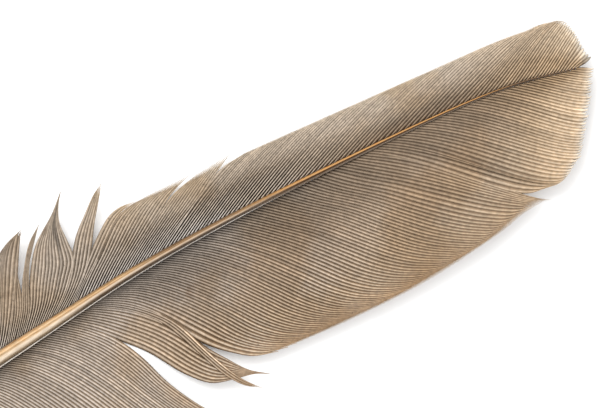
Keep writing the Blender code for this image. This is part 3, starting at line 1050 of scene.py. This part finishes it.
def shaft_material():
    """Horn: pale and clear in the quill, golden further on, with a painted highlight along the
    crown and a dark groove, partly brown horn and partly painted shade on the keel's trailing
    flank.
    """
    look = Look("shaft_keratin", 0.38, 0.5)
    around = look.scaled(look.number("around"), -1, 1, 0, 1, "LINEAR")
    # across the shaft: the cream band near the middle is a painted highlight, and the dark band
    # beside the pale edge is partly brown horn and partly painted shade
    near = look.ramp(around, edged(
        0.07, (0.11, 150, 134, 112), (0.16, 150, 125, 94), (0.24, 184, 158, 126),
        (0.32, 246, 226, 200), (0.46, 250, 228, 202), (0.58, 200, 168, 126),
        (0.68, 214, 178, 132), (0.78, 242, 206, 160), (0.9, 210, 172, 128), (1.0, 160, 130, 98),
    ))
    middle = look.ramp(around, edged(
        0.08, (0.13, 120, 102, 82), (0.18, 94, 72, 48), (0.28, 98, 74, 48),
        (0.37, 168, 144, 120), (0.46, 230, 210, 188), (0.54, 218, 192, 160),
        (0.64, 196, 158, 112), (0.78, 214, 176, 126), (0.9, 176, 142, 98), (1.0, 150, 122, 92),
    ))
    waist = look.ramp(around, edged(
        0.09, (0.14, 128, 112, 96), (0.19, 98, 80, 64), (0.28, 96, 76, 58),
        (0.38, 140, 116, 92), (0.48, 212, 188, 162), (0.56, 200, 170, 136),
        (0.66, 156, 122, 78), (0.78, 142, 108, 66), (0.9, 122, 94, 64), (1.0, 140, 120, 102),
    ))
    far = look.ramp(around, stops(
        (0.0, 168, 148, 128), (0.18, 168, 148, 128), (0.3, 120, 90, 56), (0.36, 98, 64, 26),
        (0.52, 92, 58, 22), (0.6, 150, 106, 52), (0.66, 208, 156, 88), (0.84, 216, 164, 94),
        (0.94, 188, 138, 76), (1.0, 158, 118, 74),
    ))
    colour = near
    for start, stop, next_look in ((88, 101, middle), (105, 117, waist), (130, 148, far)):
        colour = look.mix(look.over(start, stop, 0, 1), colour, next_look)
    # the last stretch is thin and dark
    colour = look.mix(look.over(184, 196, 0, 0.85), colour, seen(100, 76, 54))
    # the bare quill is pale horn, brown where it grew out of the skin
    colour = look.mix(look.over(34, 66, 0.85, 0.0), colour, seen(238, 224, 200))
    colour = look.mix(look.over(1.5, 16, 0.8, 0.0), colour, seen(150, 118, 82))
    # streaks along the horn
    place_on = look.vector(look.times(around, 9.0), look.times(look.number("station"), 95.0))
    streaks = look.noise(1.0, 4, place_on)
    colour = look.shade(colour, look.scaled(streaks, 0.3, 0.7, 0.84, 1.14))
    # orange mottling on the leading half
    stain = look.scaled(look.noise(1.4, 3, place_on), 0.45, 0.65, 0.0, 0.75)
    stain = look.times(stain, look.scaled(around, 0.5, 0.65, 0.15, 1.0))
    colour = look.mix(stain, colour, (0.96, 0.7, 0.38), "MULTIPLY")
    look.colour(colour)
    look.bump(streaks, 0.2, 0.0001)
    look.roughness(look.scaled(streaks, 0.3, 0.7, 0.3, 0.5))
    return look.material


def down_material():
    look = Look("down_keratin", 0.85, 0.2)
    shades = stops((0.3, 196, 182, 166), (0.55, 222, 212, 198), (0.75, 242, 236, 226))
    look.colour(look.ramp(look.noise(260, 3), shades))
    look.bump(look.noise(4000, 2), 0.2, 0.00002)
    return look.material


def floor_material():
    look = Look("pale_floor", 0.9, 0.1)
    shade = look.scaled(look.noise(3, 2), 0.3, 0.7, 0.915, 0.925)
    look.colour(look.shade((1.0, 1.0, 1.0), shade))
    return look.material


# ---- studio ----

FLOOR_SIZE = 4.0
FLOOR_GAP = 0.00005


def add_camera():
    """The camera looks straight down; gives the point on the floor in the view's middle."""
    data = bpy.data.cameras.new("camera")
    data.lens = LENS
    data.sensor_width = SENSOR
    data.clip_start = 0.01
    camera = add_object("camera", data)
    entry = place(shaft_point(VIEW_STATION), np.array(0.0))[:2]
    right = np.array([math.cos(VIEW_TURN), -math.sin(VIEW_TURN)])
    up = np.array([math.sin(VIEW_TURN), math.cos(VIEW_TURN)])
    middle = entry + MM * (VIEW_WIDTH / 2 * right + (VIEW_HEIGHT / 2 - ENTRY_ABOVE_BOTTOM) * up)
    camera.location = (middle[0], middle[1], VIEW_WIDTH * MM * LENS / SENSOR)
    camera.rotation_euler = (0, 0, -VIEW_TURN)
    bpy.context.scene.camera = camera
    return middle


def add_floor():
    mesh = bpy.data.meshes.new("floor")
    corners = [(x * FLOOR_SIZE, y * FLOOR_SIZE, 0) for x, y in ((-1, -1), (1, -1), (1, 1), (-1, 1))]
    mesh.from_pydata(corners, [], [(0, 1, 2, 3)])
    mesh.materials.append(floor_material())
    floor = add_object("floor", mesh)
    floor.location.z = -FLOOR_GAP


def add_key_light(target):
    """A square soft light that looks at the target."""
    data = bpy.data.lights.new("key", "AREA")
    data.shape = "SQUARE"
    data.size = KEY_SIZE
    data.energy = KEY_WATTS
    light = add_object("key", data)
    angle = math.radians(KEY_TURN) - VIEW_TURN
    elevation = math.radians(KEY_ELEVATION)
    flat = KEY_DISTANCE * math.cos(elevation)
    light.location = (target[0] + flat * math.cos(angle), target[1] + flat * math.sin(angle),
                      KEY_DISTANCE * math.sin(elevation))
    light.rotation_euler = (0, math.radians(90 - KEY_ELEVATION), angle)


def add_sky():
    world = bpy.data.worlds.new("studio")
    world.use_nodes = True
    background = world.node_tree.nodes["Background"]
    background.inputs["Color"].default_value = (1, 1, 1, 1)
    background.inputs["Strength"].default_value = SKY
    bpy.context.scene.world = world


def main():
    trailing = trailing_material()
    leading = leading_material()
    fluff = down_material()
    shaft_piece(shaft_material())
    vane_piece("leading_vane", LEADING, leading, (
        dict(barbs=loft(ARCH_LOCK, LEADING, 3), lift=0.2, marks=((-1, 0.3, 0.5, 1.1),)),
        dict(barbs=loft(FIRST_LOCK, LEADING)),
        dict(barbs=loft(SECOND_LOCK, LEADING)),
        dict(barbs=fan(LEADING_MAIN, LEADING), marks=((-1, -1.0, 0.3, 1.2), (-2, -0.8, 0.5, 1.2))),
    ))
    # painted shade of the fold near the third lock's tip: three of its barbs darkened
    painted_fold_shade = ((6, -1.3, 0.62, 1.0), (7, -1.5, 0.56, 0.98), (8, -0.9, 0.5, 0.8))
    for name, known, marks in (("1", LOCK_1, ()), ("2", LOCK_2, ()), ("3", LOCK_3, painted_fold_shade),
                               ("4", LOCK_4, ((1, 0.7, 0.4, 0.7),))):
        vane_piece("leading_lock_" + name, LEADING, leading,
                   (dict(barbs=loft(known, LEADING), marks=marks),))
    vane_piece("leading_base_vane", LEADING, leading, (
        dict(barbs=fan(LEADING_BASE, LEADING, run=6.0)),
    ))
    vane_piece("trailing_tip_vane", TRAILING, trailing, (dict(barbs=fan(TRAILING_TIP, TRAILING)),))
    vane_piece("trailing_vane", TRAILING, trailing, (dict(barbs=loft(MAIN_VANE, TRAILING)),))
    vane_piece("trailing_middle_lock", TRAILING, trailing, (
        dict(barbs=loft(MIDDLE_LOCK, TRAILING)),
        dict(barbs=loft(CROSSING_LOCK, TRAILING, 3), lift=0.5, marks=((-1, 1.8, 0.42, 0.85),)),
    ))
    vane_piece("trailing_base_vane", TRAILING, trailing, (
        dict(barbs=loft(BASE_VANE, TRAILING), marks=((-1, 1.0, 0.15, 0.5), (-10, 0.9, 0.4, 0.8))),
    ))
    down_piece("leading_down", LEADING_TUFT, LEADING, fluff)
    down_piece("trailing_down", TRAILING_TUFT, TRAILING, fluff)
    target = add_camera()
    add_floor()
    add_key_light(target)
    add_sky()
    bpy.context.scene.view_settings.view_transform = "Standard"


main()
